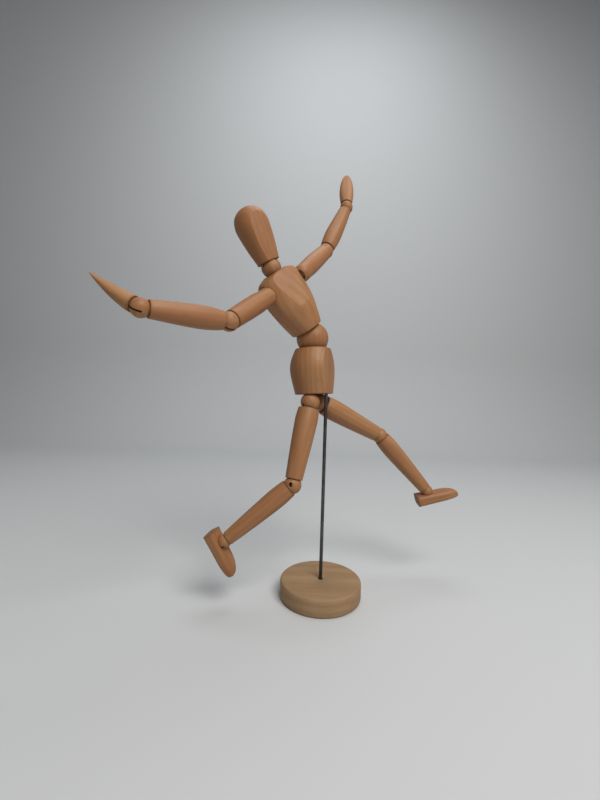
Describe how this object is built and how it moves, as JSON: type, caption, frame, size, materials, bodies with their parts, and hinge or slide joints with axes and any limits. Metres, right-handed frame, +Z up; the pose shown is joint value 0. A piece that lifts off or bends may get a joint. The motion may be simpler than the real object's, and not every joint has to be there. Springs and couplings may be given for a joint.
{
  "type": "artist mannequin",
  "caption": "Posable wooden artist's mannequin with turned limbs and ball joints, held in a running pose by a steel rod in a round wooden base.",
  "frame": {"origin": "centre of the base's flat underside", "axes": "+Z up along the support rod; the figure strides towards +X and the viewer of the picture stands on the -Y side"},
  "size_m": [0.2857, 0.1672, 0.4001],
  "materials": {
    "lacquered_wood": "satin lacquer",
    "raw_wood": "matt",
    "steel": "drawn wire",
    "brass": "drawn wire"
  },
  "bodies": {
    "base": {"base_disc": "raw_wood"},
    "rod": {"support_rod": "steel"},
    "pelvis": {"pelvis": "lacquered_wood"},
    "waist_ball": {"waist_ball": "lacquered_wood", "waist_ball_eye": "brass"},
    "chest": {"chest": "lacquered_wood", "chest_spring": "steel", "shoulder_spring": "steel"},
    "neck_ball": {"neck_ball": "lacquered_wood", "neck_ball_eye": "brass"},
    "head": {"head": "lacquered_wood", "head_hook": "steel"},
    "right_shoulder_bead": {"right_shoulder_bead": "lacquered_wood", "right_shoulder_bead_eye": "brass"},
    "right_upper_arm": {"right_upper_arm": "lacquered_wood", "right_upper_arm_spring": "steel"},
    "right_elbow_bead": {"right_elbow_bead": "lacquered_wood", "right_elbow_bead_eye": "brass"},
    "right_forearm": {"right_forearm": "lacquered_wood", "right_forearm_spring": "steel"},
    "right_wrist_bead": {"right_wrist_bead": "lacquered_wood", "right_wrist_bead_eye": "brass"},
    "right_hand": {"right_hand": "lacquered_wood", "right_hand_hook": "steel"},
    "right_hip_bead": {"right_hip_bead": "lacquered_wood", "right_hip_bead_eye": "brass"},
    "right_thigh": {"right_thigh": "lacquered_wood", "right_thigh_spring": "steel"},
    "right_knee_bead": {"right_knee_bead": "lacquered_wood", "right_knee_bead_eye": "brass"},
    "right_shin": {"right_shin": "lacquered_wood", "right_shin_spring": "steel"},
    "right_ankle_bead": {"right_ankle_bead": "lacquered_wood", "right_ankle_bead_eye": "brass"},
    "right_foot": {"right_foot": "lacquered_wood", "right_foot_hook": "steel"},
    "left_shoulder_bead": {"left_shoulder_bead": "lacquered_wood", "left_shoulder_bead_eye": "brass"},
    "left_upper_arm": {"left_upper_arm": "lacquered_wood", "left_upper_arm_spring": "steel"},
    "left_elbow_bead": {"left_elbow_bead": "lacquered_wood", "left_elbow_bead_eye": "brass"},
    "left_forearm": {"left_forearm": "lacquered_wood", "left_forearm_spring": "steel"},
    "left_wrist_bead": {"left_wrist_bead": "lacquered_wood", "left_wrist_bead_eye": "brass"},
    "left_hand": {"left_hand": "lacquered_wood", "left_hand_hook": "steel"},
    "left_hip_bead": {"left_hip_bead": "lacquered_wood", "left_hip_bead_eye": "brass"},
    "left_thigh": {"left_thigh": "lacquered_wood", "left_thigh_spring": "steel"},
    "left_knee_bead": {"left_knee_bead": "lacquered_wood", "left_knee_bead_eye": "brass"},
    "left_shin": {"left_shin": "lacquered_wood", "left_shin_spring": "steel"},
    "left_ankle_bead": {"left_ankle_bead": "lacquered_wood", "left_ankle_bead_eye": "brass"},
    "left_foot": {"left_foot": "lacquered_wood", "left_foot_hook": "steel"}
  },
  "joints": [
    {"name": "rod_swivel", "type": "hinge", "parent": "base", "child": "rod", "pos_m": [0, 0, 0], "axis": [0, 0, 1], "continuous": true},
    {"name": "figure_lift", "type": "slide", "parent": "rod", "child": "pelvis", "axis": [0, 0, 1], "range_m": [0, 0.012]},
    {"name": "waist_twist", "type": "hinge", "parent": "pelvis", "child": "waist_ball", "pos_m": [-0.01316, 0.00586, 0.22395], "axis": [-0.0605, 0.027, 0.9978], "range_deg": [-90, 90]},
    {"name": "waist_bend", "type": "hinge", "parent": "waist_ball", "child": "chest", "pos_m": [-0.01316, 0.00586, 0.22395], "axis": [-0.569, 0.8204, -0.0567], "range_deg": [-26, 98]},
    {"name": "neck_twist", "type": "hinge", "parent": "chest", "child": "neck_ball", "pos_m": [-0.04927, -0.01549, 0.27747], "axis": [-0.531, -0.3139, 0.7871], "range_deg": [-90, 90]},
    {"name": "neck_bend", "type": "hinge", "parent": "neck_ball", "child": "head", "pos_m": [-0.04927, -0.01549, 0.27747], "axis": [0.6973, -0.6896, 0.1955], "range_deg": [-38, 58]},
    {"name": "right_shoulder_twist", "type": "hinge", "parent": "chest", "child": "right_shoulder_bead", "pos_m": [-0.05114, -0.02479, 0.2509], "axis": [-0.6209, -0.4879, -0.6135], "range_deg": [-90, 90]},
    {"name": "right_shoulder_bend", "type": "hinge", "parent": "right_shoulder_bead", "child": "right_upper_arm", "pos_m": [-0.05114, -0.02479, 0.2509], "axis": [-0.6026, -0.2034, 0.7717], "range_deg": [-50, 18]},
    {"name": "right_elbow_twist", "type": "hinge", "parent": "right_upper_arm", "child": "right_elbow_bead", "pos_m": [-0.0733, -0.06304, 0.22351], "axis": [-0.4262, -0.7354, -0.5267], "range_deg": [-90, 90]},
    {"name": "right_elbow_bend", "type": "hinge", "parent": "right_elbow_bead", "child": "right_forearm", "pos_m": [-0.0733, -0.06304, 0.22351], "axis": [0.5231, -0.6754, 0.5198], "range_deg": [-22, 98]},
    {"name": "right_wrist_twist", "type": "hinge", "parent": "right_forearm", "child": "right_wrist_bead", "pos_m": [-0.11947, -0.09897, 0.22328], "axis": [0.7891, 0.6142, 0.004], "range_deg": [-90, 90]},
    {"name": "right_wrist_bend", "type": "hinge", "parent": "right_wrist_bead", "child": "right_hand", "pos_m": [-0.11947, -0.09897, 0.22328], "axis": [0.3389, -0.4408, 0.8311], "range_deg": [-26, 126]},
    {"name": "right_hip_twist", "type": "hinge", "parent": "pelvis", "child": "right_hip_bead", "pos_m": [-0.01377, -0.0046, 0.16827], "axis": [0.0605, -0.027, -0.9978], "range_deg": [-90, 90]},
    {"name": "right_hip_bend", "type": "hinge", "parent": "right_hip_bead", "child": "right_thigh", "pos_m": [-0.01377, -0.0046, 0.16827], "axis": [-0.6608, 0.7481, -0.0603], "range_deg": [-16, 54]},
    {"name": "right_knee_twist", "type": "hinge", "parent": "right_thigh", "child": "right_knee_bead", "pos_m": [-0.02646, -0.02123, 0.10095], "axis": [-0.18, -0.2359, -0.955], "range_deg": [-90, 64]},
    {"name": "right_knee_bend", "type": "hinge", "parent": "right_knee_bead", "child": "right_shin", "pos_m": [-0.02646, -0.02123, 0.10095], "axis": [0.1758, 0.9475, -0.2672], "range_deg": [-96, 18]},
    {"name": "right_ankle_twist", "type": "hinge", "parent": "right_shin", "child": "right_ankle_bead", "pos_m": [-0.07973, -0.02434, 0.05487], "axis": [0.7556, 0.0441, 0.6536], "range_deg": [-90, 90]},
    {"name": "right_ankle_bend", "type": "hinge", "parent": "right_ankle_bead", "child": "right_foot", "pos_m": [-0.07973, -0.02434, 0.05487], "axis": [-0.5671, -0.4553, 0.6864], "range_deg": [-30, 80]},
    {"name": "left_shoulder_twist", "type": "hinge", "parent": "chest", "child": "left_shoulder_bead", "pos_m": [-0.02382, -0.00332, 0.2779], "axis": [0.6209, 0.4879, 0.6135], "range_deg": [-90, 90]},
    {"name": "left_shoulder_bend", "type": "hinge", "parent": "left_shoulder_bead", "child": "left_upper_arm", "pos_m": [-0.02382, -0.00332, 0.2779], "axis": [0.3721, 0.5054, -0.7785], "range_deg": [-14, 52]},
    {"name": "left_elbow_twist", "type": "hinge", "parent": "left_upper_arm", "child": "left_elbow_bead", "pos_m": [-0.00267, 0.03127, 0.31046], "axis": [-0.4067, -0.6652, -0.6262], "range_deg": [-90, 90]},
    {"name": "left_elbow_bend", "type": "hinge", "parent": "left_elbow_bead", "child": "left_forearm", "pos_m": [-0.00267, 0.03127, 0.31046], "axis": [0.9125, -0.3297, -0.2423], "range_deg": [-86, 34]},
    {"name": "left_wrist_twist", "type": "hinge", "parent": "left_forearm", "child": "left_wrist_bead", "pos_m": [0.01792, 0.0506, 0.36168], "axis": [0.352, 0.3306, 0.8757], "range_deg": [-90, 90]},
    {"name": "left_wrist_bend", "type": "hinge", "parent": "left_wrist_bead", "child": "left_hand", "pos_m": [0.01792, 0.0506, 0.36168], "axis": [-0.1622, -0.8999, 0.4049], "range_deg": [-98, 56]},
    {"name": "left_hip_twist", "type": "hinge", "parent": "pelvis", "child": "left_hip_bead", "pos_m": [-0.0058, 0.01331, 0.16827], "axis": [0.0605, -0.027, -0.9978], "range_deg": [-90, 32]},
    {"name": "left_hip_bend", "type": "hinge", "parent": "left_hip_bead", "child": "left_thigh", "pos_m": [-0.0058, 0.01331, 0.16827], "axis": [-0.3324, 0.942, -0.0456], "range_deg": [-10, 36]},
    {"name": "left_knee_twist", "type": "hinge", "parent": "left_thigh", "child": "left_knee_bead", "pos_m": [0.0545, 0.0331, 0.13758], "axis": [-0.8553, -0.2807, 0.4354], "range_deg": [-90, 90]},
    {"name": "left_knee_bend", "type": "hinge", "parent": "left_knee_bead", "child": "left_shin", "pos_m": [0.0545, 0.0331, 0.13758], "axis": [-0.4584, 0.8018, -0.3834], "range_deg": [-82, 34]},
    {"name": "left_ankle_twist", "type": "hinge", "parent": "left_shin", "child": "left_ankle_bead", "pos_m": [0.10203, 0.0354, 0.08555], "axis": [0.6741, 0.0326, -0.7379], "range_deg": [-90, 90]},
    {"name": "left_ankle_bend", "type": "hinge", "parent": "left_ankle_bead", "child": "left_foot", "pos_m": [0.10203, 0.0354, 0.08555], "axis": [0.1148, 0.9823, 0.1482], "range_deg": [-82, 22]}
  ]
}
